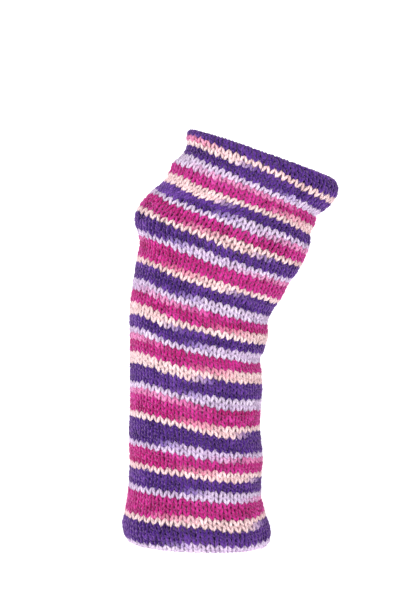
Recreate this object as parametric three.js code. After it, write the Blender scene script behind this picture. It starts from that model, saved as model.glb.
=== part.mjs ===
// A knitted wrist warmer in its worn form: one striped tube of stockinette, hollow, for a hand that leans
// towards its little finger. Both ends are turned under as soft hems. The fingers leave through the one at
// the top and the thumb through a slit in the side.
//
// Millimetres. +Z points up the arm to the fingers, +X to the little-finger side, -Y is the back of the hand,
// and the origin is the middle of the wrist, where the arm holds the tube.

import * as THREE from 'three';

const CLOTH = 3.2; // thickness of the knitted cloth
const COURSE_HEIGHT = 3.0; // mean height of one knitted row
const SEAM_GAP = 0.3; // between pieces that are joined on the real thing
const SQUARENESS = 2.15; // exponent of the tube's oval section: 2 is an ellipse
const ROUND_STEPS = 48; // facets round the tube
const FULL_TURN = 2 * Math.PI;

// Where the knitting changes, as courses (knitted rows) counted up from the fold of the wrist hem.
const WRIST_FOLD = 0;
const WRIST_HEM_TOP = 6.8;
const THUMB_BASE = 47;
const FINGER_HEM_BOTTOM = 74.7;
const FINGER_FOLD = 79;

// The slit for the thumb: its ends as courses, and half its opening as an angle round the tube.
const SLIT = { bottom: 64.4, top: 74, halfOpening: THREE.MathUtils.degToRad(19) };

// The tube's outer outline. Each row is one knitted course: its outer edge on the thumb side and on the
// little-finger side, half its size from front to back, and how far its front hangs below its sides.
const SECTIONS = [
  { course: 0, thumbX: -41, thumbZ: -108, littleX: 45, littleZ: -110.5, halfDepth: 34, dip: 2 },
  { course: 2.6, thumbX: -43.8, thumbZ: -99, littleX: 45.6, littleZ: -101.5, halfDepth: 36, dip: 2 },
  { course: 6.2, thumbX: -41.8, thumbZ: -88, littleX: 42.2, littleZ: -91, halfDepth: 34, dip: 1.4 },
  { course: 11.7, thumbX: -39.6, thumbZ: -69, littleX: 40, littleZ: -76.5, halfDepth: 32, dip: 0.3 },
  { course: 19.8, thumbX: -39.7, thumbZ: -41, littleX: 40, littleZ: -51.5, halfDepth: 31.2, dip: 0.2 },
  { course: 29.3, thumbX: -39.2, thumbZ: -6.5, littleX: 39.8, littleZ: -19.5, halfDepth: 30, dip: 1.4 },
  { course: 38.4, thumbX: -39.4, thumbZ: 24.5, littleX: 41.6, littleZ: 7, halfDepth: 28.6, dip: 2.4 },
  { course: 43, thumbX: -38.4, thumbZ: 40, littleX: 43.8, littleZ: 19, halfDepth: 28, dip: 2.9 },
  { course: 47.8, thumbX: -36, thumbZ: 56, littleX: 47.2, littleZ: 31, halfDepth: 27.6, dip: 3.2 },
  { course: 52, thumbX: -34.2, thumbZ: 70.5, littleX: 54.6, littleZ: 42, halfDepth: 27.6, dip: 3.1 },
  { course: 56.9, thumbX: -35.6, thumbZ: 84.5, littleX: 61.4, littleZ: 52.5, halfDepth: 27.8, dip: 2.6 },
  { course: 60.5, thumbX: -32.6, thumbZ: 94, littleX: 66, littleZ: 61, halfDepth: 27.4, dip: 1.6 },
  { course: 64.4, thumbX: -25.4, thumbZ: 102.2, littleX: 69, littleZ: 71.6, halfDepth: 26.3, dip: 0.6 },
  { course: 66.8, thumbX: -20.2, thumbZ: 107.6, littleX: 70.8, littleZ: 77, halfDepth: 25.4, dip: 0.3 },
  { course: 69, thumbX: -18, thumbZ: 113.4, littleX: 72.4, littleZ: 82, halfDepth: 24.6, dip: 0.1 },
  { course: 71.2, thumbX: -15, thumbZ: 118.6, littleX: 73.8, littleZ: 85.6, halfDepth: 23.8, dip: 0 },
  { course: 73.2, thumbX: -8.6, thumbZ: 123.4, littleX: 76.2, littleZ: 88.4, halfDepth: 23.2, dip: 0 },
  { course: 74.7, thumbX: -5.4, thumbZ: 127, littleX: 80.4, littleZ: 92, halfDepth: 23, dip: 0 },
  { course: 76.6, thumbX: -5.2, thumbZ: 132.4, littleX: 85.6, littleZ: 98.8, halfDepth: 23.8, dip: 0 },
  { course: 79, thumbX: -5, thumbZ: 139.2, littleX: 85.6, littleZ: 107.8, halfDepth: 23.4, dip: 0 },
];

// Soft folds where the cloth bunches. Each one runs round the tube: its course, the angle of its middle
// (0 on the thumb side, 90 on the back of the hand, 180 on the little-finger side, 270 on the palm),
// its height (a trough where it is below zero), half its length in degrees and half its width in courses.
const FOLDS = [
  { course: 9.5, angle: 175, height: -0.7, halfLength: 50, halfWidth: 1.8 },
  { course: 17.2, angle: 178, height: 0.9, halfLength: 40, halfWidth: 2.2 },
  { course: 23.5, angle: 185, height: -0.8, halfLength: 45, halfWidth: 1.9 },
  { course: 29.6, angle: 172, height: 0.7, halfLength: 36, halfWidth: 2.0 },
  { course: 35.6, angle: 176, height: -1.7, halfLength: 44, halfWidth: 1.7 },
  { course: 40.6, angle: 182, height: 1.3, halfLength: 48, halfWidth: 2.0 },
  { course: 44.6, angle: 190, height: -1.0, halfLength: 38, halfWidth: 1.5 },
  { course: 49.5, angle: 178, height: 0.9, halfLength: 34, halfWidth: 1.7 },
  { course: 54.2, angle: 186, height: -0.8, halfLength: 40, halfWidth: 1.5 },
  { course: 63.4, angle: 177, height: 0.9, halfLength: 30, halfWidth: 1.4 },
  { course: 66.4, angle: 181, height: -1.1, halfLength: 34, halfWidth: 1.2 },
  { course: 71.6, angle: 179, height: -1.2, halfLength: 32, halfWidth: 1.3 },
  { course: 52.6, angle: 2, height: -1.0, halfLength: 42, halfWidth: 2.0 },
  { course: 58.2, angle: 8, height: 1.0, halfLength: 36, halfWidth: 2.1 },
  { course: 36.5, angle: 262, height: -1.4, halfLength: 52, halfWidth: 1.9 },
  { course: 41.5, angle: 281, height: 1.2, halfLength: 44, halfWidth: 2.3 },
  { course: 47.2, angle: 255, height: -1.3, halfLength: 56, halfWidth: 1.8 },
  { course: 54.8, angle: 300, height: 1.1, halfLength: 40, halfWidth: 2.4 },
  { course: 24.8, angle: 318, height: -0.8, halfLength: 46, halfWidth: 2.2 },
  { course: 13.4, angle: 242, height: 0.7, halfLength: 38, halfWidth: 2.4 },
];

// The section at any course: a smooth curve through each column of the table, whose slope at a row is the
// straight slope between that row's neighbours.
function sectionAt(course) {
  const last = SECTIONS.length - 1;
  let i = 0;
  while (i < last - 1 && SECTIONS[i + 1].course <= course) i += 1;
  const before = SECTIONS[Math.max(i - 1, 0)];
  const start = SECTIONS[i];
  const end = SECTIONS[i + 1];
  const after = SECTIONS[Math.min(i + 2, last)];
  const span = end.course - start.course;
  const t = (course - start.course) / span;
  const section = {};
  for (const column of Object.keys(start)) {
    const slopeIn = (span * (end[column] - before[column])) / (end.course - before.course);
    const slopeOut = (span * (after[column] - start[column])) / (after.course - start.course);
    section[column] =
      start[column] * (1 - 3 * t ** 2 + 2 * t ** 3) +
      slopeIn * (t - 2 * t ** 2 + t ** 3) +
      end[column] * (3 * t ** 2 - 2 * t ** 3) +
      slopeOut * (t ** 3 - t ** 2);
  }
  return section;
}

function foldHeight(course, around) {
  const degrees = THREE.MathUtils.radToDeg(around);
  let height = 0;
  for (const fold of FOLDS) {
    const offAngle = ((degrees - fold.angle + 540) % 360) - 180;
    const along = offAngle / fold.halfLength;
    const across = (course - fold.course) / fold.halfWidth;
    height += fold.height * Math.exp(-(along ** 2) - across ** 2);
  }
  return height;
}

const ovalPower = (value) => Math.sign(value) * Math.abs(value) ** (2 / SQUARENESS);

// A point of the cloth: on a course, at an angle round the tube, and this far inside the outer surface.
function clothPoint(course, around, inset) {
  const section = sectionAt(course);
  const thumbSide = new THREE.Vector3(section.thumbX, 0, section.thumbZ);
  const littleSide = new THREE.Vector3(section.littleX, 0, section.littleZ);
  const across = littleSide.clone().sub(thumbSide);
  const halfWidth = across.length() / 2;
  const frontToBack = new THREE.Vector3(0, section.halfDepth, section.dip).normalize();
  const grow = foldHeight(course, around) - inset;
  return thumbSide
    .add(littleSide)
    .multiplyScalar(0.5)
    .addScaledVector(across.normalize(), -(halfWidth + grow) * ovalPower(Math.cos(around)))
    .addScaledVector(frontToBack, -(section.halfDepth + grow) * ovalPower(Math.sin(around)));
}

// Half the opening of the thumb slit at a course, as an angle: a lens that closes at both ends.
function slitOpening(course) {
  const along = (course - SLIT.bottom) / (SLIT.top - SLIT.bottom);
  if (along <= 0 || along >= 1) return 0;
  return SLIT.halfOpening * Math.sin(Math.PI * along) ** 0.7;
}

function meshFrom(name, points, faces, color) {
  const geometry = new THREE.BufferGeometry();
  geometry.setAttribute('position', new THREE.Float32BufferAttribute(points.flatMap((p) => p.toArray()), 3));
  geometry.setIndex(faces.flat());
  geometry.computeVertexNormals();
  const mesh = new THREE.Mesh(geometry, new THREE.MeshStandardMaterial({ color, roughness: 0.95, metalness: 0 }));
  mesh.name = name;
  return mesh;
}

function evenSteps(from, to, count) {
  return Array.from({ length: count + 1 }, (_, i) => from + ((to - from) * i) / count);
}

// A stretch of the tube: an outer and an inner surface through these courses, closed at both ends and along
// the edges of the thumb slit, where the two ends of a course stand apart.
function tubeStretch(name, courses, color) {
  const points = [];
  const corner = courses.map((course) => {
    const opening = slitOpening(course);
    const ends = opening > 0 ? ROUND_STEPS + 1 : ROUND_STEPS;
    const row = [CLOTH, 0].map((inset) => {
      const ids = [];
      for (let j = 0; j < ends; j += 1) {
        const around = opening + (FULL_TURN - 2 * opening) * (j / ROUND_STEPS);
        ids.push(points.push(clothPoint(course, around, inset)) - 1);
      }
      if (opening === 0) ids.push(ids[0]);
      return ids;
    });
    return { inner: row[0], outer: row[1], open: opening > 0 };
  });

  const faces = [];
  // Four corners, anticlockwise seen from outside; a side that closes to one point leaves one triangle.
  const face = (a, b, c, d) => {
    if (a !== b) faces.push([a, b, c]);
    if (c !== d) faces.push([a, c, d]);
  };
  for (let i = 0; i + 1 < corner.length; i += 1) {
    const low = corner[i];
    const high = corner[i + 1];
    for (let j = 0; j < ROUND_STEPS; j += 1) {
      face(low.outer[j], low.outer[j + 1], high.outer[j + 1], high.outer[j]);
      face(low.inner[j + 1], low.inner[j], high.inner[j], high.inner[j + 1]);
    }
    if (low.open || high.open) {
      const end = ROUND_STEPS;
      face(low.inner[0], low.outer[0], high.outer[0], high.inner[0]);
      face(low.outer[end], low.inner[end], high.inner[end], high.outer[end]);
    }
  }
  const first = corner[0];
  const last = corner[corner.length - 1];
  for (let j = 0; j < ROUND_STEPS; j += 1) {
    face(first.inner[j], first.inner[j + 1], first.outer[j + 1], first.outer[j]);
    face(last.outer[j], last.outer[j + 1], last.inner[j + 1], last.inner[j]);
  }
  return meshFrom(name, points, faces, color);
}

// A band round the tube: a closed profile of { course, inset } points, listed up the outside and down the
// inside, carried once round.
function roundBand(name, profile, color) {
  const points = [];
  const faces = [];
  const size = profile.length;
  for (let j = 0; j < ROUND_STEPS; j += 1) {
    const around = (FULL_TURN * j) / ROUND_STEPS;
    const next = (j + 1) % ROUND_STEPS;
    profile.forEach(({ course, inset }, k) => {
      points.push(clothPoint(course, around, inset));
      const above = (k + 1) % size;
      faces.push([j * size + k, next * size + k, next * size + above]);
      faces.push([j * size + k, next * size + above, j * size + above]);
    });
  }
  return meshFrom(name, points, faces, color);
}

// A hem: the cloth is turned under at a round fold and lies double, with a plain edge inside. The fold lies
// at one course and the hem's other end at another, above it at the wrist and below it at the fingers.
function turnedHem(name, foldCourse, endCourse) {
  const upwards = Math.sign(endCourse - foldCourse);
  const roundCourse = foldCourse + (upwards * CLOTH) / COURSE_HEIGHT; // the fold's radius is one cloth
  const heights = evenSteps(roundCourse, endCourse, 3);
  const outside = heights.map((course) => ({ course, inset: 0 }));
  const inside = [...heights].reverse().map((course) => ({ course, inset: 2 * CLOTH }));
  const fold = evenSteps(Math.PI, 0, 6)
    .slice(1, -1)
    .map((turn) => ({
      course: roundCourse + (foldCourse - roundCourse) * Math.sin(turn),
      inset: CLOTH * (1 - Math.cos(turn)),
    }));
  const profile = [...outside, ...inside, ...fold];
  return roundBand(name, upwards > 0 ? profile : profile.reverse(), '#4b2a86');
}

function armTube() {
  const courses = evenSteps(WRIST_HEM_TOP + SEAM_GAP / COURSE_HEIGHT, THUMB_BASE, 20);
  return tubeStretch('arm_tube', courses, '#b83a80');
}

function handTube() {
  const bottom = THUMB_BASE + SEAM_GAP / COURSE_HEIGHT;
  const top = FINGER_HEM_BOTTOM - SEAM_GAP / COURSE_HEIGHT;
  const courses = [
    ...evenSteps(bottom, SLIT.bottom, 9),
    ...evenSteps(SLIT.bottom, SLIT.top, 12).slice(1),
    top,
  ];
  return tubeStretch('hand_tube', courses, '#b83a80');
}

const wristWarmer = new THREE.Group();
wristWarmer.add(
  turnedHem('wrist_hem', WRIST_FOLD, WRIST_HEM_TOP),
  armTube(),
  handTube(),
  turnedHem('finger_hem', FINGER_FOLD, FINGER_HEM_BOTTOM),
);

export default wristWarmer;
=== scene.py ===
# %% [markdown]
# # A knitted wrist warmer
#
# This scene dresses one wrist warmer: a hollow tube of plain knitting in purple, lavender, pink and cream
# stripes. It is worked from the fingers down to the wrist, so every stitch points up like a small roof.
# Both ends are turned under as soft hems, and a slit in the side lets the thumb out.
#
# A flat surface with a picture of knitting would look right from one side only. So the yarn itself is made:
# one long strand that runs round and round the tube and bends into a loop for every stitch. All that shows
# then comes from shape: the little roofs outside, the bumps inside, the round fold of each hem.

# %% Tools and the packed frame
import math

import bmesh
import bpy
import numpy as np
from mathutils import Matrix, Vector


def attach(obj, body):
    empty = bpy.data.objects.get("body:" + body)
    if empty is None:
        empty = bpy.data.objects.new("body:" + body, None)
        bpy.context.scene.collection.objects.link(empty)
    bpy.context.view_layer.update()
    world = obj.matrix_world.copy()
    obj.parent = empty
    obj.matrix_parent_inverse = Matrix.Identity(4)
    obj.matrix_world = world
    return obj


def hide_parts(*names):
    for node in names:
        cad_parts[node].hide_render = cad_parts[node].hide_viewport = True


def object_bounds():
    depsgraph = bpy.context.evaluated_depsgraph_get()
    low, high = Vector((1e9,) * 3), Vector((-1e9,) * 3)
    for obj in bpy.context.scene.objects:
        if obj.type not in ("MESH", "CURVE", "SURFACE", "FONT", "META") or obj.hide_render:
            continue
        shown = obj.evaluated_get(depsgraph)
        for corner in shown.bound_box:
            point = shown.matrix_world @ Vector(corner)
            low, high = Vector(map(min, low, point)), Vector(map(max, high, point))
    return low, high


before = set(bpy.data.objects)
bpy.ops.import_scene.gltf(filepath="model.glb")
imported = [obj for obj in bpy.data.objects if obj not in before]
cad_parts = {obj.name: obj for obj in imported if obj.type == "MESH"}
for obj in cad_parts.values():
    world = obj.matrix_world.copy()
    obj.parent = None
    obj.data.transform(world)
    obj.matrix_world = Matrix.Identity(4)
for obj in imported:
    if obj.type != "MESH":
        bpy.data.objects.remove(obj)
cad_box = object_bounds()
MM = 0.001
print("nodes to dress:", sorted(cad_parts))

# %% [markdown]
# ## The form of the tube
#
# The cloth follows the same form as the solids of the frame, so its sizes are the same short tables. A
# course is one knitted row, counted up from the fold at the wrist to the fold at the fingers. Each row of
# the first table is one course: where it lies on the thumb side and on the little-finger side, half its
# depth from front to back, and how far its front hangs. The second table holds the soft folds where the
# cloth bunches.
#
# A smooth curve through each column gives the section at any course. That is better than a lofted mesh
# here, because the strand has to know where the cloth is at every point, not only at the corners of a face.

# %% Sizes of the cloth and its sections
CLOTH = 3.2 * MM  # thickness of the knitted cloth
COURSE_HEIGHT = 3.0 * MM
SQUARENESS = 2.15  # 2 would be an ellipse
FINGER_FOLD = 79  # the course of the fold at the fingers; the fold at the wrist is course 0
SLIT_BOTTOM, SLIT_TOP = 64.4, 74.0
SLIT_HALF_OPENING = math.radians(19)

# course, thumb side x and z, little-finger side x and z, half depth, dip of the front (millimetres)
SECTIONS = np.array([
    [0, -41, -108, 45, -110.5, 34, 2],
    [2.6, -43.8, -99, 45.6, -101.5, 36, 2],
    [6.2, -41.8, -88, 42.2, -91, 34, 1.4],
    [11.7, -39.6, -69, 40, -76.5, 32, 0.3],
    [19.8, -39.7, -41, 40, -51.5, 31.2, 0.2],
    [29.3, -39.2, -6.5, 39.8, -19.5, 30, 1.4],
    [38.4, -39.4, 24.5, 41.6, 7, 28.6, 2.4],
    [43, -38.4, 40, 43.8, 19, 28, 2.9],
    [47.8, -36, 56, 47.2, 31, 27.6, 3.2],
    [52, -34.2, 70.5, 54.6, 42, 27.6, 3.1],
    [56.9, -35.6, 84.5, 61.4, 52.5, 27.8, 2.6],
    [60.5, -32.6, 94, 66, 61, 27.4, 1.6],
    [64.4, -25.4, 102.2, 69, 71.6, 26.3, 0.6],
    [66.8, -20.2, 107.6, 70.8, 77, 25.4, 0.3],
    [69, -18, 113.4, 72.4, 82, 24.6, 0.1],
    [71.2, -15, 118.6, 73.8, 85.6, 23.8, 0],
    [73.2, -8.6, 123.4, 76.2, 88.4, 23.2, 0],
    [74.7, -5.4, 127, 80.4, 92, 23, 0],
    [76.6, -5.2, 132.4, 85.6, 98.8, 23.8, 0],
    [79, -5, 139.2, 85.6, 107.8, 23.4, 0],
])

# course, angle of its middle, height (millimetres, a trough below zero), half length (degrees), half width
FOLDS = np.array([
    [9.5, 175, -0.7, 50, 1.8],
    [17.2, 178, 0.9, 40, 2.2],
    [23.5, 185, -0.8, 45, 1.9],
    [29.6, 172, 0.7, 36, 2.0],
    [35.6, 176, -1.7, 44, 1.7],
    [40.6, 182, 1.3, 48, 2.0],
    [44.6, 190, -1.0, 38, 1.5],
    [49.5, 178, 0.9, 34, 1.7],
    [54.2, 186, -0.8, 40, 1.5],
    [63.4, 177, 0.9, 30, 1.4],
    [66.4, 181, -1.1, 34, 1.2],
    [71.6, 179, -1.2, 32, 1.3],
    [52.6, 2, -1.0, 42, 2.0],
    [58.2, 8, 1.0, 36, 2.1],
    [36.5, 262, -1.4, 52, 1.9],
    [41.5, 281, 1.2, 44, 2.3],
    [47.2, 255, -1.3, 56, 1.8],
    [54.8, 300, 1.1, 40, 2.4],
    [24.8, 318, -0.8, 46, 2.2],
    [13.4, 242, 0.7, 38, 2.4],
])
print(f"{len(SECTIONS)} sections and {len(FOLDS)} folds")

# %% The section at any course


def section_at(course):
    """The columns of the table at these courses, on a smooth curve through its rows."""
    last = len(SECTIONS) - 1
    i = np.clip(np.searchsorted(SECTIONS[:, 0], course, side="right") - 1, 0, last - 1)
    before, start = SECTIONS[np.maximum(i - 1, 0)], SECTIONS[i]
    end, after = SECTIONS[i + 1], SECTIONS[np.minimum(i + 2, last)]
    span = (end - start)[..., :1]
    t = (course[..., None] - start[..., :1]) / span
    slope_in = span * (end - before) / (end - before)[..., :1]
    slope_out = span * (after - start) / (after - start)[..., :1]
    ends = start * (1 - 3 * t**2 + 2 * t**3) + end * (3 * t**2 - 2 * t**3)
    return ends + slope_in * (t - 2 * t**2 + t**3) + slope_out * (t**3 - t**2)


def fold_height(course, around):
    height = np.zeros_like(course)
    for at, angle, rise, half_length, half_width in FOLDS:
        off_angle = (np.degrees(around) - angle + 540) % 360 - 180
        along = off_angle / half_length
        across = (course - at) / half_width
        height += rise * MM * np.exp(-(along**2) - across**2)
    return height


def unit(vectors):
    return vectors / np.linalg.norm(vectors, axis=-1, keepdims=True)


def oval_power(value):
    return np.sign(value) * np.abs(value) ** (2 / SQUARENESS)


def cloth_point(course, around, inset):
    """A point on a course, at an angle round the tube, this far inside the outer surface."""
    columns = section_at(course)
    flat = np.zeros_like(course)
    thumb = np.stack([columns[..., 1], flat, columns[..., 2]], -1) * MM
    little = np.stack([columns[..., 3], flat, columns[..., 4]], -1) * MM
    half_depth = columns[..., 5] * MM
    front_to_back = unit(np.stack([flat, columns[..., 5], columns[..., 6]], -1))
    half_width = np.linalg.norm(little - thumb, axis=-1) / 2
    grow = fold_height(course, around) - inset
    out_x = (half_width + grow) * oval_power(np.cos(around))
    out_y = (half_depth + grow) * oval_power(np.sin(around))
    middle = (thumb + little) / 2
    return middle - out_x[..., None] * unit(little - thumb) - out_y[..., None] * front_to_back


def slit_opening(course):
    """Half the opening of the thumb slit, as an angle: a lens that closes at both ends."""
    along = np.clip((course - SLIT_BOTTOM) / (SLIT_TOP - SLIT_BOTTOM), 0, 1)
    return SLIT_HALF_OPENING * np.sin(math.pi * along) ** 0.7


middle_girth = cloth_point(np.full(200, 29.3), np.linspace(0, 2 * math.pi, 200), np.zeros(200))
girth = np.linalg.norm(np.diff(middle_girth, axis=0), axis=1).sum()
print(f"girth at the wrist {girth * 1000:.0f} mm")

# %% [markdown]
# ## Columns of stitches, evenly spread
#
# Knitting has columns of stitches, called wales, and all of them are equally wide. Equal steps of angle
# would crowd them at the narrow ends of the oval. So the way round is measured as a share of the length of
# each course, from the thumb side over the back of the hand to the little-finger side and back by the palm.
#
# `knit_point` then places anything on the cloth: which course, what share of the way round, and how far it
# stands out from the middle of the cloth towards its face. Below course 0 and above the last one it runs
# round the fold and on along the inside, so the hems need no special case.

# %% Shares of the way round, and the two hems
ROUND = CLOTH / COURSE_HEIGHT  # the outer radius of a fold, in courses
SHARES = np.linspace(0, 1, 169)
TABLE_COURSES = np.linspace(0, FINGER_FOLD, 2 * FINGER_FOLD + 1)


def way_round_table():
    rows = []
    for course in TABLE_COURSES:
        opening = slit_opening(np.array([course]))[0]
        step = np.linspace(0, 1, 337)
        around = opening + (2 * math.pi - 2 * opening) * step
        points = cloth_point(np.full_like(around, course), around, np.full_like(around, CLOTH / 2))
        lengths = np.linalg.norm(np.diff(points, axis=0), axis=1)
        share = np.concatenate([[0], np.cumsum(lengths)]) / lengths.sum()
        rows.append(np.interp(SHARES, share, step))
    return np.array(rows)


WAY_ROUND = way_round_table()


def around_at(course, share):
    """The angle round the tube at this share of the way round a course."""
    inside = np.clip(share, 0, 1)
    row = np.clip(course, 0, FINGER_FOLD) * 2
    column = inside * (len(SHARES) - 1)
    r = np.minimum(row.astype(int), len(TABLE_COURSES) - 2)
    c = np.minimum(column.astype(int), len(SHARES) - 2)
    fr, fc = row - r, column - c
    low = WAY_ROUND[r, c] * (1 - fc) + WAY_ROUND[r, c + 1] * fc
    high = WAY_ROUND[r + 1, c] * (1 - fc) + WAY_ROUND[r + 1, c + 1] * fc
    step = low * (1 - fr) + high * fr + (share - inside)
    opening = slit_opening(course)
    return opening + (2 * math.pi - 2 * opening) * step


def knit_point(course, share, lift):
    """A point of the knitting, lifted from the middle of the cloth towards its face."""
    past_fold = np.where(course < FINGER_FOLD / 2, course, FINGER_FOLD - course)
    turn = np.clip(past_fold / ROUND, -1, 1) * math.pi / 2
    radius = CLOTH / 2 + lift
    from_fold = np.where(
        np.abs(past_fold) < ROUND,
        ROUND - radius / COURSE_HEIGHT * np.cos(turn),
        np.abs(past_fold),
    )
    on_tube = np.where(course < FINGER_FOLD / 2, from_fold, FINGER_FOLD - from_fold)
    return cloth_point(on_tube, around_at(on_tube, share), CLOTH - radius * np.sin(turn))


print(f"way round: {WAY_ROUND.shape[0]} courses by {WAY_ROUND.shape[1]} shares")

# %% [markdown]
# ## Rows of even height
#
# Knitted rows are all about equally high, but the courses of the table are only marks along the tube, close
# together where it bends. So the rows are measured off along the middle of the back of the hand. Row 0
# hangs just below the fold at the fingers, rows below zero lie inside the finger hem, and the last ones
# inside the wrist hem.
#
# On the hand the knitting is pulled a little up or down in places, by up to one row. The table of drifts
# holds a few such soft pulls.

# %% From rows to courses
ROWS = 79  # rows from one fold to the other
FIRST_ROW, END_ROW = -5, 85  # the cast-on inside the finger hem, and the last row inside the wrist hem
WALES = 48
FRONT_SHARE = 0.27  # the middle of the back of the hand, as a share of the way round
# row and share of its middle, pull (rows, down is plus), half length (rows), half width (share)
DRIFTS = np.array([
    [2, 0.04, -0.9, 3, 0.08],
    [3, 0.40, 0.6, 3, 0.10],
    [14, 0.02, -1.0, 6, 0.07],
    [12, 0.47, 0.6, 6, 0.07],
    [19, 0.36, 0.4, 4, 0.12],
    [29, 0.30, -0.4, 4, 0.16],
    [36, 0.08, -1.0, 11, 0.08],
    [48, 0.12, -0.5, 5, 0.06],
    [54, 0.33, 0.8, 8, 0.08],
    [73, 0.36, 1.0, 5, 0.08],
])


def measure_rows():
    """How many rows lie between the fold at the fingers and each course, along the front."""
    course = np.linspace(FINGER_FOLD, 0, 4 * FINGER_FOLD + 1)
    middle = np.full_like(course, FRONT_SHARE)
    here = knit_point(course, middle, np.full_like(course, CLOTH / 2))
    beside = knit_point(course, middle + 0.01, np.full_like(course, CLOTH / 2))
    along_row = unit(beside - here)[1:]
    step = np.diff(here, axis=0)
    step -= (step * along_row).sum(-1, keepdims=True) * along_row
    length = np.concatenate([[0], np.cumsum(np.linalg.norm(step, axis=1))])
    return course, length / length[-1] * ROWS, length[-1] / ROWS


ROW_COURSES, ROW_MARKS, ROW_HEIGHT = measure_rows()


def course_at(row):
    """The course of a place this many rows below the fold at the fingers."""
    between = np.interp(row, ROW_MARKS, ROW_COURSES)
    inside = np.maximum(-row, 0) - np.maximum(row - ROWS, 0)
    return between + inside * ROW_HEIGHT / COURSE_HEIGHT


def drift(row, share):
    """How far the rows are pulled down at a place, in rows."""
    pull = np.zeros_like(share)
    for at, middle, rows, half_length, half_width in DRIFTS:
        beside = (share - middle + 0.5) % 1 - 0.5
        pull += rows * np.exp(-(((row - at) / half_length) ** 2) - (beside / half_width) ** 2)
    return pull


print(f"{ROWS} rows of {ROW_HEIGHT * 1000:.2f} mm and {WALES} wales of about {girth / WALES * 1000:.1f} mm")

# %% [markdown]
# ## The colours of the strand
#
# The yarn is dyed in lengths, so the stripes are made by the strand itself: each stretch of it is one
# colour, and the knitting lays it down row by row. The chart lists the stretches in the order of the work,
# from the fingers to the wrist, each with its length in rows. A length that isn't a whole number moves the
# place where the next colour starts round the tube, which gives the small steps that such stripes have.
#
# The dyes run into each other at each change. Halfway they make a tint of their own, violet or rose, so a
# change goes by way of that tint over a few stitches.

# %% Dyed lengths of the yarn
PURPLE, LAVENDER, ROSE, PINK, CREAM = range(5)
DYES = np.array([
    [0.080, 0.020, 0.238],
    [0.730, 0.590, 0.800],
    [0.800, 0.260, 0.520],
    [0.550, 0.015, 0.230],
    [0.950, 0.700, 0.705],
])
# the tint halfway to each of them, and the rows of yarn over which the change goes
HALFWAY = np.array([
    [0.34, 0.20, 0.58],
    [0.32, 0.19, 0.60],
    [0.80, 0.41, 0.68],
    [0.69, 0.10, 0.38],
    [0.90, 0.26, 0.44],
])
BLENDS = np.array([0.07, 0.08, 0.12, 0.12, 0.14])
# rows of yarn in each colour: purple, lavender, rose, pink, cream
REPEATS = [
    [2.14, 1.76, 0.25, 2.02, 1.83],
    [2.03, 1.13, 0.60, 2.24, 1.15],
    [2.80, 1.18, 0.68, 3.16, 1.15],
    [2.89, 1.88, 0.12, 2.12, 1.84],
    [2.08, 1.52, 0.36, 2.16, 1.97],
    [2.98, 1.76, 0.24, 3.01, 1.13],
    [3.79, 1.15, 0.27, 2.66, 1.17],
    [2.82, 1.18, 0.20, 3.57, 1.22],
    [3.78, 2.20, 0.30, 2.30, 1.80],
    [6.00, 1.00, 1.00, 1.00, 1.00],
]
CAST_ON_YARN = [(PURPLE, 7.86), (ROSE, 0.22), (CREAM, 1.13)]  # the stretches before the repeats


def dye_chart():
    """The place where each stretch of colour starts, in rows, and its dye."""
    stretches = CAST_ON_YARN + [pair for rows in REPEATS for pair in zip(range(5), rows)]
    lengths = [rows for _, rows in stretches]
    starts = FIRST_ROW + np.concatenate([[0], np.cumsum(lengths)[:-1]])
    return starts, np.array([dye for dye, _ in stretches])


CHART_STARTS, CHART_DYES = dye_chart()


def yarn_colour(row):
    """The dye of the strand at this many rows."""
    nearest = np.abs(CHART_STARTS[1:] - row[..., None]).argmin(-1) + 1
    dye = CHART_DYES[nearest]
    before, here, halfway = DYES[CHART_DYES[nearest - 1]], DYES[dye], HALFWAY[dye]
    mix = np.clip((row - CHART_STARTS[nearest]) / BLENDS[dye] + 0.5, 0, 1)[..., None]
    return before * (1 - mix) ** 2 + halfway * 2 * mix * (1 - mix) + here * mix**2


print(f"{len(CHART_STARTS)} stretches of colour over {END_ROW - FIRST_ROW} rows")

# %% [markdown]
# ## One stitch
#
# A plain stitch is a loop that is pulled through the one before. Seen from the face only its two legs show,
# and its head and its feet pass behind. The table gives half a loop, from its head to the foot that it
# shares with its neighbour: across in wales, along in rows, and out towards the face. The other half
# mirrors it.
#
# A curve through those few points gives the loop. It could be built with a Blender curve and a bevel, but
# the loop is repeated more than four thousand times on a bent surface, so the strand is worked out as
# arrays of points and skinned once.

# %% The loop of a stitch
SAMPLES = 13  # points of the strand in one stitch
# across (wales), along (rows, minus is towards the wrist), out (1 is as far as a leg stands out)
HALF_LOOP = np.array([
    [0.00, -0.80, -1.0],
    [0.21, -0.74, -0.8],
    [0.36, -0.46, 0.15],
    [0.34, -0.16, 0.90],
    [0.25, 0.18, 1.0],
    [0.17, 0.48, 0.70],
    [0.13, 0.70, -0.10],
    [0.26, 0.86, -0.85],
    [0.50, 0.88, -1.0],
])


def smooth_through(points, steps):
    """A Catmull-Rom curve through a run of points, which needs one more point at each end."""
    t = np.linspace(0, 1, steps, endpoint=False)[:, None]
    pieces = []
    for a, b, c, d in zip(points, points[1:], points[2:], points[3:]):
        square, cube = 2 * a - 5 * b + 4 * c - d, 3 * b - a - 3 * c + d
        pieces.append(0.5 * (2 * b + (c - a) * t + square * t**2 + cube * t**3))
    return np.concatenate(pieces)


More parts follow.
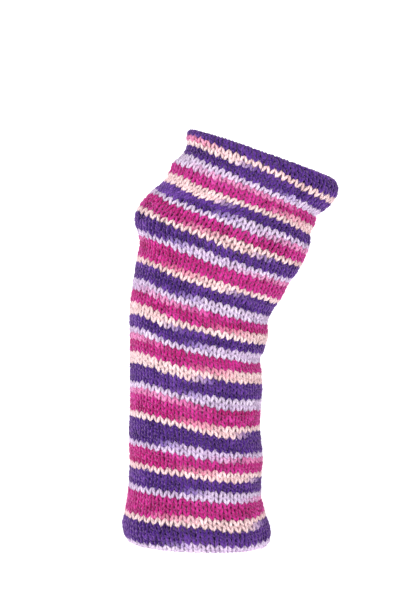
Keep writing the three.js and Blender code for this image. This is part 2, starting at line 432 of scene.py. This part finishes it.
def stitch_loop(samples):
    """Equally spaced points of one loop: across, along and out."""
    mirrored = HALF_LOOP[:0:-1] * [-1, 1, 1]
    loop = np.concatenate([mirrored, HALF_LOOP[:-1]])
    shift = np.array([1, 0, 0])
    ring = np.concatenate([loop[-1:] - shift, loop, loop[:2] + shift])
    fine = smooth_through(ring, 12)
    closed = np.concatenate([fine, fine[:1] + shift])
    wale_and_row = np.array([4.8, 3.1, 0.6])  # millimetres, to space the points evenly
    steps = np.linalg.norm(np.diff(closed * wale_and_row, axis=0), axis=1)
    length = np.concatenate([[0], np.cumsum(steps)])
    at = np.linspace(0, length[-1], samples, endpoint=False)
    return np.stack([np.interp(at, length, closed[:, i]) for i in range(3)], -1), length[-1]


LOOP, LOOP_LENGTH = stitch_loop(SAMPLES)
print(f"one stitch takes {LOOP_LENGTH:.1f} mm of yarn")

# %% [markdown]
# ## The strand
#
# Row after row of loops makes the strand. It sinks by one course in each turn, as all knitting in the round
# does. At the thumb slit there is nothing to run across, so there the work turns back at each edge, and
# every second row runs the other way.
#
# Hand knitting is never quite even. A little seeded chance moves and stretches each loop, most at its head
# and not at all at the feet that it shares with its neighbours.

# %% Rows of loops
LEG_OUT = 0.74 * MM  # how far the legs stand out from the middle of the cloth, and the heads behind it
YARN_RADIUS = 0.98 * MM
FIRST_SLIT_ROW, LAST_SLIT_ROW = 5, 13
ROW_START = 0.48  # where row 0 starts, in rows below the fold
# the chance in a loop: across (wales), along (rows), out, its height (share) and its thickness (share)
CHANCE_ACROSS, CHANCE_ALONG, CHANCE_OUT = 0.05, 0.08, 0.12 * MM
CHANCE_TALL, CHANCE_THICK = 0.08, 0.05
chance = np.random.default_rng(7)
SHIFT = chance.normal(0, 1, (END_ROW - FIRST_ROW, WALES, 4))


def row_points(turn):
    """Share of the way round, rows below the fold, lift, thickness and rows of yarn, along one row."""
    stitch = np.arange(WALES)[:, None]
    across, along, out = LOOP.T
    from_middle = 2 * np.abs(np.linspace(-0.5, 0.5, SAMPLES, endpoint=False))
    wobble = SHIFT[turn - FIRST_ROW][:, None, :] * (1 - from_middle**3)[:, None]
    share = (stitch + 0.5 + across + CHANCE_ACROSS * wobble[..., 0]) / WALES
    lift = LEG_OUT * out + CHANCE_OUT * wobble[..., 2]
    tall = 1 + CHANCE_TALL * wobble[..., 3]
    place = turn + ROW_START + share - along * tall + CHANCE_ALONG * wobble[..., 1]
    place += drift(turn, share)
    thick = 1 + CHANCE_THICK * wobble[..., 2]
    back = FIRST_SLIT_ROW <= turn <= LAST_SLIT_ROW and turn % 2 == FIRST_SLIT_ROW % 2
    yarn = turn + (1 - share if back else share)
    columns = np.stack([share, place, lift, thick, yarn], -1).reshape(-1, 5)
    return columns[::-1] if back else columns


EDGE_REACH = 0.55 / WALES  # how far the strand bulges past the edge of the slit
EDGE_LIFT = 1.2 * LEG_OUT


def edge_turn(end, start):
    """The strand goes round the edge of the slit from one row to the next."""
    t = np.linspace(0, 1, 7)[1:-1, None]
    turn = end + (start - end) * t
    outwards = 1 if end[0] > 0.5 else -1
    turn[:, 0] += outwards * EDGE_REACH * np.sin(math.pi * t[:, 0])
    turn[:, 2] += EDGE_LIFT * np.sin(math.pi * t[:, 0])
    return turn


def strand(first, end):
    """The columns of `row_points` for the rows from the first up to the end, in one run."""
    run = [row_points(first)]
    for turn in range(first + 1, end):
        row = row_points(turn)
        if FIRST_SLIT_ROW <= turn <= LAST_SLIT_ROW + 1:
            run.append(edge_turn(run[-1][-1], row[0]))
        run.append(row)
    return np.concatenate(run)


print(f"{(END_ROW - FIRST_ROW) * WALES} stitches")

# %% [markdown]
# ## From the strand to a tube of faces
#
# Each point of the strand gets a ring of vertices, and each pair of rings a band of faces. The ring stands
# square to the strand, and the outward direction of the cloth keeps it from twisting. A cap of triangles
# closes each end, so the tube holds no open edge.
#
# A bmesh operator for each of so many thousands of rings would take far too long. The pattern of the
# corners is the same for every tube, so the faces come straight from arrays.

# %% Rings, faces and caps
SIDES = 6
FLATTENED = 0.92  # the yarn is pressed a little flat against the cloth
SMALL_LIFT = 0.2 * MM  # a short way out of the cloth, to find its direction


def strand_frame(columns):
    """Centre, the direction out of the cloth and the direction across the yarn, at each point."""
    share, course, lift = columns[:, 0], course_at(columns[:, 1]), columns[:, 2]
    centre = knit_point(course, share, lift)
    above = knit_point(course, share, lift + SMALL_LIFT)
    tangent = unit(np.gradient(centre, axis=0))
    side = unit(np.cross(above - centre, tangent))
    return centre, np.cross(tangent, side), side


def tube_faces(count):
    """The corners of the faces of a tube with this many rings, and how many corners each face has."""
    i = np.arange(count - 1)[:, None] * SIDES
    j = np.arange(SIDES)[None, :]
    k = (j + 1) % SIDES
    quads = np.stack([i + j, i + k, i + SIDES + k, i + SIDES + j], -1).reshape(-1, 4)
    first, last = np.arange(SIDES), (count - 1) * SIDES + np.arange(SIDES)
    low_cap = np.stack([np.full(SIDES, count * SIDES), np.roll(first, -1), first], -1)
    high_cap = np.stack([np.full(SIDES, count * SIDES + 1), last, np.roll(last, -1)], -1)
    corners = np.concatenate([quads.ravel(), low_cap.ravel(), high_cap.ravel()])
    return corners, np.concatenate([np.full(len(quads), 4), np.full(2 * SIDES, 3)])


print(f"{SIDES} sides, {SAMPLES * SIDES * 2} triangles in a stitch")

# %% [markdown]
# ## Maps on the tube
#
# Two maps go with the faces. One runs along the yarn in real turns of its plies, for the relief of the
# twist. The other lays the rows out as strips in one square, so that baked colours find a place.

# %% Plies along the yarn, and strips for baking
PLY_TURN = 5.5 * MM  # length of one full turn of the plies
PLIES = 3
STRIP_MARGIN, END_MARGIN = 0.06, 0.002  # left free round each strip, as shares of it


def corner_places(count):
    """The ring that each corner of the faces lies on, and how far round it, from 0 to 1."""
    ring = np.repeat(np.arange(count), SIDES).reshape(count, SIDES)
    j = np.arange(SIDES)
    ring_of_quad = np.stack([ring[:-1], ring[:-1], ring[1:], ring[1:]], -1).reshape(-1)
    round_of_quad = np.tile(np.stack([j, j + 1, j + 1, j], -1).ravel(), count - 1) / SIDES
    along = np.concatenate([ring_of_quad, np.zeros(3 * SIDES, int), np.full(3 * SIDES, count - 1)])
    return along, np.concatenate([round_of_quad, np.full(6 * SIDES, 0.5)])


def add_maps(mesh, centre, rows):
    """Gives a tube round these centres its two maps."""
    count = len(centre)
    along, about = corner_places(count)
    length = np.concatenate([[0], np.cumsum(np.linalg.norm(np.diff(centre, axis=0), axis=1))])
    plies = mesh.uv_layers.new(name="Plies")
    plies.data.foreach_set("uv", np.stack([length[along] / PLY_TURN, about], -1).ravel())

    row = np.minimum(np.arange(count) * rows // count, rows - 1)
    row_start = np.searchsorted(row, np.arange(rows))
    row_size = np.bincount(row, minlength=rows)
    low_ring = np.concatenate([np.repeat(np.arange(count - 1), 4 * SIDES), along[-6 * SIDES:]])
    strip = row[low_ring]
    in_strip = np.clip((along - row_start[strip]) / row_size[strip], 0, 1)
    across = END_MARGIN + (1 - 2 * END_MARGIN) * in_strip
    up = (strip + STRIP_MARGIN + (1 - 2 * STRIP_MARGIN) * about) / rows
    bake = mesh.uv_layers.new(name="OFBake")
    bake.data.foreach_set("uv", np.stack([across, up], -1).ravel())


print(f"{PLIES} plies, one turn in {PLY_TURN / MM:.1f} mm of yarn")

# %% [markdown]
# ## Dye and painted depth shade
#
# The dye is stored at each vertex, with painted shade in it. Little light reaches the depth between the
# stitches, so the painted shade makes a point darker the nearer it lies to the middle of the cloth. A pale
# yarn passes more light on than a dark one, so the power of that painted shade falls with the colour.
#
# And the dye never takes evenly. More of it passes less light, and doubling it squares what passes, so its
# uptake is a power of the colour too: a little less dye turns pink to rose and hardly changes cream. It
# drifts slowly along the yarn, with a finer change from leg to leg.

# %% The dye and painted depth shade at each vertex
DEPTH_SHADE = 0.26  # what is left of the light in the middle of the cloth
LIT_HEIGHT = 1.55 * MM  # from here outwards all the light arrives
DEPTH_CURVE = 1.5
DARK_POWER, PALE_POWER = 1.2, 0.4  # how strongly the shade acts on a black and on a white yarn
LEGS = (END_ROW - FIRST_ROW) * 2 * WALES
UPTAKE_FINE, UPTAKE_SLOW = 0.09, 0.10
SLOW_LEGS = 16  # legs in one slow change
TONE = 0.07  # and a plain change of brightness
FINE = chance.normal(0, 1, LEGS + 1)
SLOW = chance.normal(0, 1, LEGS // SLOW_LEGS + 2)


def uneven_dye(colours, yarn):
    """These colours as the yarn took them, at these rows of yarn."""
    leg = (yarn - FIRST_ROW) * 2 * WALES
    fine = np.interp(leg, np.arange(len(FINE)), FINE)
    slow = np.interp(leg / SLOW_LEGS, np.arange(len(SLOW)), SLOW)
    power = 1 + UPTAKE_FINE * fine + UPTAKE_SLOW * slow
    return colours ** power[:, None] * (1 - TONE * fine[:, None])


def add_dye_and_shade(mesh, height, colours, yarn):
    """Stores the dye of a tube with painted depth shade, by the heights of its vertices from the middle of
    the cloth.
    """
    shade = np.clip(np.abs(height) / LIT_HEIGHT, 0, 1) ** DEPTH_CURVE
    shade = (DEPTH_SHADE + (1 - DEPTH_SHADE) * shade)[:, :, None]
    toned = uneven_dye(colours, yarn)[:, None, :]
    power = DARK_POWER + (PALE_POWER - DARK_POWER) * toned
    rgba = np.ones((len(mesh.vertices), 4))
    rgba[:-2, :3] = (toned * shade**power).reshape(-1, 3)
    rgba[-2:, :3] = colours[[0, -1]]
    dye = mesh.color_attributes.new("DyeLightAndShade", "FLOAT_COLOR", "POINT")
    dye.data.foreach_set("color", rgba.ravel())


print(f"{LEGS} legs of yarn, each with its own uptake of dye")

# %% [markdown]
# ## Skinning the strand
#
# Now the strand can get its skin. One call makes the tube of a whole stretch of rows, with its maps and its
# dye with painted shade, and puts it into the scene.

# %% A closed tube of yarn


def new_piece(name, data):
    """Puts a mesh, or later a lamp or camera, into the scene as an object of its own."""
    piece = bpy.data.objects.new(name, data)
    bpy.context.scene.collection.objects.link(piece)
    return piece


def yarn_mesh(name, columns, rows, colours):
    """A closed tube of yarn along the columns of a strand."""
    centre, up, side = strand_frame(columns)
    turn = np.linspace(0, 2 * math.pi, SIDES, endpoint=False)
    wide = (YARN_RADIUS * columns[:, 3])[:, None, None]
    ring = side[:, None] * np.cos(turn)[:, None] + FLATTENED * up[:, None] * np.sin(turn)[:, None]
    points = centre[:, None] + wide * ring
    vertices = np.concatenate([points.reshape(-1, 3), centre[[0, -1]]])
    corners, sizes = tube_faces(len(centre))

    mesh = bpy.data.meshes.new(name)
    mesh.vertices.add(len(vertices))
    mesh.vertices.foreach_set("co", vertices.ravel())
    mesh.loops.add(len(corners))
    mesh.loops.foreach_set("vertex_index", corners)
    mesh.polygons.add(len(sizes))
    mesh.polygons.foreach_set("loop_start", np.concatenate([[0], np.cumsum(sizes)[:-1]]))
    mesh.polygons.foreach_set("use_smooth", np.ones(len(sizes), bool))
    add_maps(mesh, centre, rows)
    add_dye_and_shade(mesh, columns[:, 2][:, None] + wide[:, :, 0] * np.sin(turn), colours, columns[:, 4])
    mesh.update(calc_edges=True)
    mesh.validate()
    return new_piece(name, mesh)


print(f"yarn {2 * YARN_RADIUS / MM:.1f} mm thick")

# %% [markdown]
# ## The pieces of yarn
#
# The strand is cut into six pieces at whole rows, one or two for each stretch that a maker would work: the
# finger hem, the knuckles with the slit, the palm, the wrist, the forearm and the wrist hem. Their cut ends
# meet face to face, so the cuts don't show.

# %% Knitting the pieces
STRETCHES = [
    # name, first row, end row, the solids that it stands for, its finish
    ("finger_hem_yarn", FIRST_ROW, 4, ["finger_hem"], "hem_yarn"),
    ("knuckle_yarn", 4, 17, ["hand_tube"], "striped_yarn"),
    ("palm_yarn", 17, 31, ["hand_tube"], "striped_yarn"),
    ("wrist_yarn", 31, 51, ["arm_tube"], "striped_yarn"),
    ("forearm_yarn", 51, 72, ["arm_tube"], "striped_yarn"),
    ("wrist_hem_yarn", 72, END_ROW, ["wrist_hem"], "hem_yarn"),
]
yarn_pieces = []
for name, first, end, solids, slot in STRETCHES:
    columns = strand(first, end)
    piece = yarn_mesh(name, columns, end - first, yarn_colour(columns[:, 4]))
    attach(piece, "root")
    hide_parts(*solids)
    yarn_pieces.append(piece)
    print(f"{name}: {len(piece.data.polygons) * 2} triangles")

# %% [markdown]
# ## Sewing the hems down
#
# Inside, each hem ends in an open edge. The same yarn whips it to the tube: a strand coils round the edge,
# once for each wale, over the face of the hem and through the bumps of the tube behind it.

# %% Whipped edges
COIL_POINTS = 9  # in one turn of the coil
COIL_REACH = 0.7  # how far it reaches over the edge, in rows
COIL_LIFT, COIL_DEPTH = 1.9, 0.1  # how far it swings, and how deep its middle lies (millimetres)
COIL_THICKNESS = 0.62  # pulled tight, as a share of the yarn


def whipping(edge, into_hem):
    """The columns of a strand that coils round the edge of a hem."""
    turn = np.linspace(0, 2 * math.pi * WALES, COIL_POINTS * WALES + 1)
    share = turn / (2 * math.pi * WALES)
    place = edge + share + into_hem * COIL_REACH * np.cos(turn)
    lift = (COIL_LIFT * np.sin(turn) - COIL_DEPTH) * MM
    return np.stack([share, place, lift, np.full_like(share, COIL_THICKNESS), edge + share], -1)


for name, edge, into_hem in [
    ("finger_hem_sewing", FIRST_ROW + ROW_START - 1.0, 1),
    ("wrist_hem_sewing", END_ROW + ROW_START - 0.1, -1),
]:
    columns = whipping(edge, into_hem)
    piece = yarn_mesh(name, columns, 1, np.tile(DYES[PURPLE], (len(columns), 1)))
    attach(piece, "root")
    yarn_pieces.append(piece)
    print(f"{name}: {len(piece.data.polygons) * 2} triangles")

# %% [markdown]
# ## Loose fibres
#
# A soft yarn wears a fine halo of loose fibres. Each of them leaves the yarn, bends over and ends in a
# point: a thin closed spindle with one ring of three vertices at its bend. There are thousands, so six
# faces each must do. They take the dye of the yarn they leave, but paler, because light shines through
# them.

# %% The form of a fibre
FIBRES = 30000
FIBRE_RADIUS = 0.06 * MM
FIBRE_LENGTHS = (0.7, 2.4)  # the shortest and the longest (millimetres)
FIBRES_FROM = 0.4 * LEG_OUT  # they leave the yarn only where it stands out at least this far
ROOT_REACH = 0.8 * YARN_RADIUS  # their roots lie a little inside the yarn
TURN_SPREAD = 0.7  # how far round the yarn they start from its outermost line (radians)
# where a fibre bends and where it ends, outwards and sideways, as shares of its length
BEND_OUT, BEND_ASIDE = 0.38, 0.25
TIP_OUT, TIP_ASIDE = 0.44, 0.80


def fibre_spindles(columns, at):
    """A root, a ring of three and a tip for a fibre at each of these points of a strand."""
    centre, up, side = strand_frame(columns)
    turn = chance.normal(math.pi / 2, TURN_SPREAD, FIBRES)[:, None]
    outwards = side[at] * np.cos(turn) + up[at] * np.sin(turn)
    lean = unit(np.cross(chance.normal(0, 1, (FIBRES, 3)), up[at]))
    length = chance.uniform(*FIBRE_LENGTHS, FIBRES)[:, None] * MM
    root = centre[at] + ROOT_REACH * outwards
    bend = root + length * (BEND_OUT * outwards + BEND_ASIDE * lean)
    tip = root + length * (TIP_OUT * outwards + TIP_ASIDE * lean)
    across = unit(np.cross(tip - root, outwards))
    through = unit(np.cross(tip - root, across))
    ring = [
        bend + FIBRE_RADIUS * (across * math.cos(angle) + through * math.sin(angle))
        for angle in (0, 2 * math.pi / 3, 4 * math.pi / 3)
    ]
    return np.stack([root, *ring, tip], 1)


print(f"{FIBRES} fibres of {FIBRE_LENGTHS[0]} to {FIBRE_LENGTHS[1]} mm")

# %% A halo of fibres
FIBRE_UPTAKE, FIBRE_GLOW = 0.5, 0.03  # one fibre holds less dye than a whole yarn, and gathers some light
SPINDLE = np.array([[0, 2, 1], [0, 3, 2], [0, 1, 3], [4, 1, 2], [4, 2, 3], [4, 3, 1]])
BAKE_CORNERS = np.array([[0.1, 0.1], [0.9, 0.1], [0.5, 0.9]])  # of a triangle, inside the cell of its fibre


def fibre_halo(name):
    """One mesh of thin spindles that leave the legs of the stitches outwards."""
    columns = strand(0, ROWS)
    at = chance.choice(np.flatnonzero(columns[:, 2] > FIBRES_FROM), FIBRES)
    vertices = fibre_spindles(columns, at).reshape(-1, 3)
    faces = (np.arange(FIBRES)[:, None, None] * 5 + SPINDLE).reshape(-1, 3)
    mesh = bpy.data.meshes.new(name)
    mesh.from_pydata(vertices.tolist(), [], faces.tolist())

    colours = np.repeat(yarn_colour(columns[at, 4]) ** FIBRE_UPTAKE + FIBRE_GLOW, 5, axis=0)
    dye = mesh.color_attributes.new("DyeLightAndShade", "FLOAT_COLOR", "POINT")
    dye.data.foreach_set("color", np.concatenate([colours, np.ones((len(colours), 1))], 1).ravel())

    cells = math.ceil(math.sqrt(FIBRES))
    cell = np.stack([np.arange(FIBRES) % cells, np.arange(FIBRES) // cells], -1)[:, None, None]
    spread = (cell + BAKE_CORNERS) / cells + np.zeros((FIBRES, len(SPINDLE), 3, 2))
    bake = mesh.uv_layers.new(name="OFBake")
    bake.data.foreach_set("uv", spread.ravel())
    return new_piece(name, mesh)


halo = fibre_halo("loose_fibres")
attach(halo, "root")
print(f"loose fibres: {len(halo.data.polygons)} triangles")

# %% [markdown]
# ## The ground behind the stitches
#
# Real stitches press so close together that no light comes through. A smooth thin wall in the middle of the
# cloth does the same here and fills the small gaps between the loops with painted shade: the colour of the
# yarn behind, darkened. It is one flat grid, rolled up on the form of the tube: the operator makes the
# grid, and each vertex then moves to its course and its share of the way round.

# %% Rolling up the ground
ROUND_CELLS, UP_CELLS = 144, 130
GROUND_LIFT = 0.12 * MM  # from the middle of the cloth towards its face
ground_mesh = bpy.data.meshes.new("painted_shade_ground")
ground_form = bmesh.new()
bmesh.ops.create_grid(ground_form, x_segments=ROUND_CELLS, y_segments=UP_CELLS, size=0.5)
ground_form.verts.ensure_lookup_table()
flat = np.array([vertex.co[:] for vertex in ground_form.verts])
# which cell of the grid comes to lie at which row, so that the ends of the slit fall on whole cells
slit_low, slit_high = [np.interp(-c, -ROW_COURSES, ROW_MARKS) for c in (SLIT_BOTTOM, SLIT_TOP)]
cell_marks = [0, 14, 94, 112, 118, UP_CELLS]
row_marks = [END_ROW + 0.2, ROWS - 1.0, slit_low, slit_high, 1.0, FIRST_ROW + 0.8]
ground_row = np.interp((flat[:, 1] + 0.5) * UP_CELLS, cell_marks, row_marks)
ground_share = flat[:, 0] + 0.5
placed = knit_point(course_at(ground_row), ground_share, np.full(len(flat), GROUND_LIFT))
for vertex, point in zip(ground_form.verts, placed):
    vertex.co = point
print(f"ground: {len(flat)} points from row {row_marks[-1]:.1f} to row {row_marks[0]:.1f}")

# %% Shading and closing the ground
GROUND_SHADE = 0.2  # what is left of the light behind the stitches
GROUND_WALL = 0.4 * MM
# The colour of the ground is painted shade: the dye of the yarn at its row, darkened.
shaded_dye_layer = ground_form.verts.layers.float_color.new("DyeLightAndShade")
in_rows = ground_row - ROW_START - drift(ground_row, ground_share) - ground_share
shades = GROUND_SHADE * yarn_colour(np.round(in_rows) + ground_share)
for vertex, shade in zip(ground_form.verts, shades):
    vertex[shaded_dye_layer] = (*shade, 1)
bmesh.ops.remove_doubles(ground_form, verts=ground_form.verts[:], dist=0.02 * MM)
bmesh.ops.recalc_face_normals(ground_form, faces=ground_form.faces[:])
for face in ground_form.faces:
    face.smooth = True
ground_form.to_mesh(ground_mesh)
ground_form.free()
ground = new_piece("painted_shade_ground", ground_mesh)
wall = ground.modifiers.new("Wall", "SOLIDIFY")
wall.thickness = GROUND_WALL
wall.offset = 0
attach(ground, "root")
print(f"ground: {len(ground_mesh.polygons)} faces")

# %% [markdown]
# ## Shader maths in plain expressions
#
# A material is easier to read as a formula than as a list of links. A small class wraps a socket, so that
# `1 - mask * 0.3` adds the Math nodes by itself. Any other node comes from one method.

# %% A socket that can be reckoned with


class Socket:
    def __init__(self, tree, socket):
        self.tree, self.socket = tree, socket

    def maths(self, operation, *values):
        return Shader(self.tree).node("ShaderNodeMath", {"operation": operation}, dict(enumerate(values)))

    def __add__(self, other):
        return self.maths("ADD", self, other)

    def __sub__(self, other):
        return self.maths("SUBTRACT", self, other)

    def __rsub__(self, other):
        return self.maths("SUBTRACT", other, self)

    def __mul__(self, other):
        return self.maths("MULTIPLY", self, other)

    __radd__ = __add__
    __rmul__ = __mul__


class Shader:
    def __init__(self, tree):
        self.tree = tree

    def node(self, kind, settings=None, inputs=None, output=0):
        """A node of any type: its settings first, then the values and links of its sockets."""
        made = self.tree.nodes.new(kind)
        for setting, value in (settings or {}).items():
            setattr(made, setting, value)
        for key, value in (inputs or {}).items():
            if isinstance(value, Socket):
                self.tree.links.new(value.socket, made.inputs[key])
            else:
                made.inputs[key].default_value = value
        return Socket(self.tree, made.outputs[output])


def new_material(name):
    material = bpy.data.materials.new(name)
    material.use_nodes = True
    material.node_tree.nodes.clear()
    return material, Shader(material.node_tree)


def finish_material(material, shader, inputs):
    surface = shader.node("ShaderNodeBsdfPrincipled", {}, inputs)
    output = material.node_tree.nodes.new("ShaderNodeOutputMaterial")
    material.node_tree.links.new(surface.socket, output.inputs["Surface"])
    return material


print("reflected operators:", ", ".join(name for name in vars(Socket) if name.startswith("__r")))

# %% [markdown]
# ## Soft dyed yarn
#
# The yarn is a soft wool blend: matt, a little fuzzy, with a faint shine at grazing angles where loose
# fibres catch the light. Its dye, with painted depth shade, comes from the attribute that the strand
# carries.
# Fine noise makes some fibres lighter and some darker, and a bump along the slanting lines of the plies
# gives the twist; the colour also gets painted light on the crests of the plies and painted shade in their
# grooves.

# %% The finish of the yarn
FIBRE_LIGHTNESS, MOTTLE_LIGHTNESS, PLY_LIGHT_AND_SHADE, LEAST_LIGHTNESS = 0.7, 1.1, 0.16, 0.12
SHEEN_TINT = (1.0, 0.62, 0.95, 1)  # the light that comes back through the fibres has taken up some dye


def dye_light_and_shade_of(make):
    """The dye, with its painted light and shade, that the mesh carries."""
    return make.node("ShaderNodeAttribute", {"attribute_name": "DyeLightAndShade"}, output="Color")


def noise(make, scale, detail):
    """Noise that is fixed to the object, with about this many grains in a metre."""
    place = make.node("ShaderNodeTexCoord", output="Object")
    return make.node("ShaderNodeTexNoise", {}, {"Vector": place, "Scale": scale, "Detail": detail})


def yarn_material(name, twist_depth):
    material, make = new_material(name)
    strand_map = make.node("ShaderNodeUVMap", {"uv_map": "Plies"})
    along = make.node("ShaderNodeSeparateXYZ", inputs={0: strand_map})
    about = Socket(along.tree, along.socket.node.outputs[1])
    twist = (along + about) * (PLIES * 2 * math.pi)
    ridges = make.node("ShaderNodeMath", {"operation": "SINE"}, {0: twist})
    fibre = noise(make, 2600.0, 3.0)
    mottle = noise(make, 750.0, 2.0)
    # Random tone from the two noises, with painted light on the crests of the plies and painted shade in
    # their grooves.
    light = (
        fibre * FIBRE_LIGHTNESS + mottle * MOTTLE_LIGHTNESS + ridges * PLY_LIGHT_AND_SHADE + LEAST_LIGHTNESS
    )
    tone_and_ply_shade = make.node("ShaderNodeCombineXYZ", inputs={0: light, 1: light, 2: light})
    tint = make.node("ShaderNodeVectorMath", {"operation": "MULTIPLY"}, {0: dye_light_and_shade_of(make), 1: tone_and_ply_shade})
    relief = {"Height": ridges * 0.5 + fibre * 0.9, "Strength": twist_depth, "Distance": 0.35 * MM}
    return finish_material(material, make, {
        "Base Color": tint,
        "Roughness": fibre * 0.1 + 0.84,
        "Normal": make.node("ShaderNodeBump", {}, relief),
        "Sheen Weight": 0.4,
        "Sheen Roughness": 0.5,
        "Sheen Tint": SHEEN_TINT,
        "Specular IOR Level": 0.12,
    })


striped_yarn = yarn_material("striped_yarn_finish", 0.9)
for piece in yarn_pieces:
    piece.data.materials.append(striped_yarn)
print(f"{striped_yarn.name} on {len(yarn_pieces)} pieces of yarn")

# %% [markdown]
# ## Fibres and ground
#
# A loose fibre is so thin that it needs only its dye, paled with painted light. The ground lies in the
# shade, and its colour is painted shade; only that colour and a little roughness of wool can be seen, so it
# has no sheen and hardly any shine.

# %% The finishes of the fibres and the ground


def fibre_material():
    material, make = new_material("loose_fibre_finish")
    return finish_material(material, make, {
        "Base Color": dye_light_and_shade_of(make),
        "Roughness": 0.9,
        "Specular IOR Level": 0.1,
    })


def ground_material():
    material, make = new_material("painted_shade_of_yarn")
    relief = {"Height": noise(make, 1800.0, 3.0), "Strength": 0.6, "Distance": 0.2 * MM}
    return finish_material(material, make, {
        "Base Color": dye_light_and_shade_of(make),
        "Roughness": 0.95,
        "Normal": make.node("ShaderNodeBump", {}, relief),
        "Specular IOR Level": 0.05,
    })


halo.data.materials.append(fibre_material())
ground.data.materials.append(ground_material())
print("finishes:", halo.data.materials[0].name, ground.data.materials[0].name)

# %% [markdown]
# ## The sheet of cloth
#
# The knitting is one sheet, rolled into a tube. Its flat size is the number of wales and rows times the
# size of a stitch when the cloth lies flat. The yarn pieces and the loose fibres go with it.

# %% [markdown]
# ## Floor and wall
#
# A pale floor a little below the hem bends up into a pale wall. One line of points gives the sweep from the
# side, and an operator pulls it out to its full width.

# %% Studio sweep
FLOOR_DROP = 0.16  # below the hem, in metres like the rest of the studio
HALF_WIDTH, FRONT_EDGE, WALL_TOP = 3, -2.5, 3
BEND_START, BEND_RADIUS, BEND_STEPS = 0.9, 0.6, 8
(x0, _, z0), (x1, _, z1) = cad_box
profile = [(FRONT_EDGE, 0), (BEND_START, 0)]
for step in range(1, BEND_STEPS + 1):
    bend = math.radians(90 * step / BEND_STEPS)
    profile.append((BEND_START + BEND_RADIUS * math.sin(bend), BEND_RADIUS * (1 - math.cos(bend))))
profile.append((BEND_START + BEND_RADIUS, WALL_TOP))
studio_form = bmesh.new()
sweep = [studio_form.verts.new((-HALF_WIDTH, y, z)) for y, z in profile]
edges = [studio_form.edges.new(pair) for pair in zip(sweep, sweep[1:])]
grown = bmesh.ops.extrude_edge_only(studio_form, edges=edges)
moved = [item for item in grown["geom"] if isinstance(item, bmesh.types.BMVert)]
bmesh.ops.translate(studio_form, verts=moved, vec=(2 * HALF_WIDTH, 0, 0))
bmesh.ops.translate(studio_form, verts=studio_form.verts[:], vec=(0, 0, z0 - FLOOR_DROP))
bmesh.ops.recalc_face_normals(studio_form, faces=studio_form.faces[:])
for face in studio_form.faces:
    face.smooth = True
studio_mesh = bpy.data.meshes.new("studio_sweep")
studio_form.to_mesh(studio_mesh)
studio_form.free()
studio = new_piece("studio_sweep", studio_mesh)
paper, make = new_material("studio_paper")
studio_mesh.materials.append(finish_material(paper, make, {
    "Base Color": (0.93, 0.93, 0.93, 1),
    "Roughness": 0.9,
    "Emission Color": (1, 1, 1, 1),
    "Emission Strength": 0.74,
}))
print(f"sweep: {len(studio_mesh.polygons)} faces, floor at {(z0 - FLOOR_DROP) * 1000:.0f} mm")

# %% [markdown]
# ## Light and camera
#
# Broad soft lights and pale air keep the shadows between the stitches gentle. The camera looks straight at
# the back of the hand.

# %% Lights
world = bpy.data.worlds.new("studio_air")
world.use_nodes = True
world.node_tree.nodes["Background"].inputs["Color"].default_value = (1, 1, 1, 1)
world.node_tree.nodes["Background"].inputs["Strength"].default_value = 0.30
bpy.context.scene.world = world


def soft_light(name, place, size, power):
    """A round lamp of this size (metres) and power (watts), aimed at the middle of the frame."""
    lamp = bpy.data.lights.new(name, "AREA")
    lamp.shape = "DISK"
    lamp.size = size
    lamp.energy = power
    light = new_piece(name, lamp)
    light.location = place
    aim = np.array([(x0 + x1) / 2, 0, (z0 + z1) / 2]) - np.array(place)
    light.rotation_euler = [
        math.pi / 2 + math.atan2(aim[2], math.hypot(aim[0], aim[1])),
        0,
        math.atan2(-aim[0], aim[1]),
    ]
    return light


key_light = soft_light("key_light", (-0.6, -1.2, 0.9), size=0.4, power=15.6)
fill_light = soft_light("fill_light", (0.9, -1.2, 0.2), size=0.8, power=4.2)
bpy.context.scene.view_settings.view_transform = "Standard"
print(f"key light {key_light.data.energy:.1f} W, fill light {fill_light.data.energy:.1f} W")

# %% Camera
VIEW_DISTANCE, VIEW_HEIGHT = 0.9, 0.36
VIEW_MIDDLE_X, VIEW_MIDDLE_Z = 0.003, 0.036
camera_data = bpy.data.cameras.new("studio_camera")
camera_data.sensor_fit = "VERTICAL"
camera_data.angle = 2 * math.atan(VIEW_HEIGHT / 2 / VIEW_DISTANCE)
camera = new_piece("studio_camera", camera_data)
camera.location = (VIEW_MIDDLE_X, -VIEW_DISTANCE, VIEW_MIDDLE_Z)
camera.rotation_euler = (math.pi / 2, 0, 0)
bpy.context.scene.camera = camera
print(f"camera {VIEW_DISTANCE:.1f} m away, {math.degrees(camera_data.angle):.1f} degrees of view")
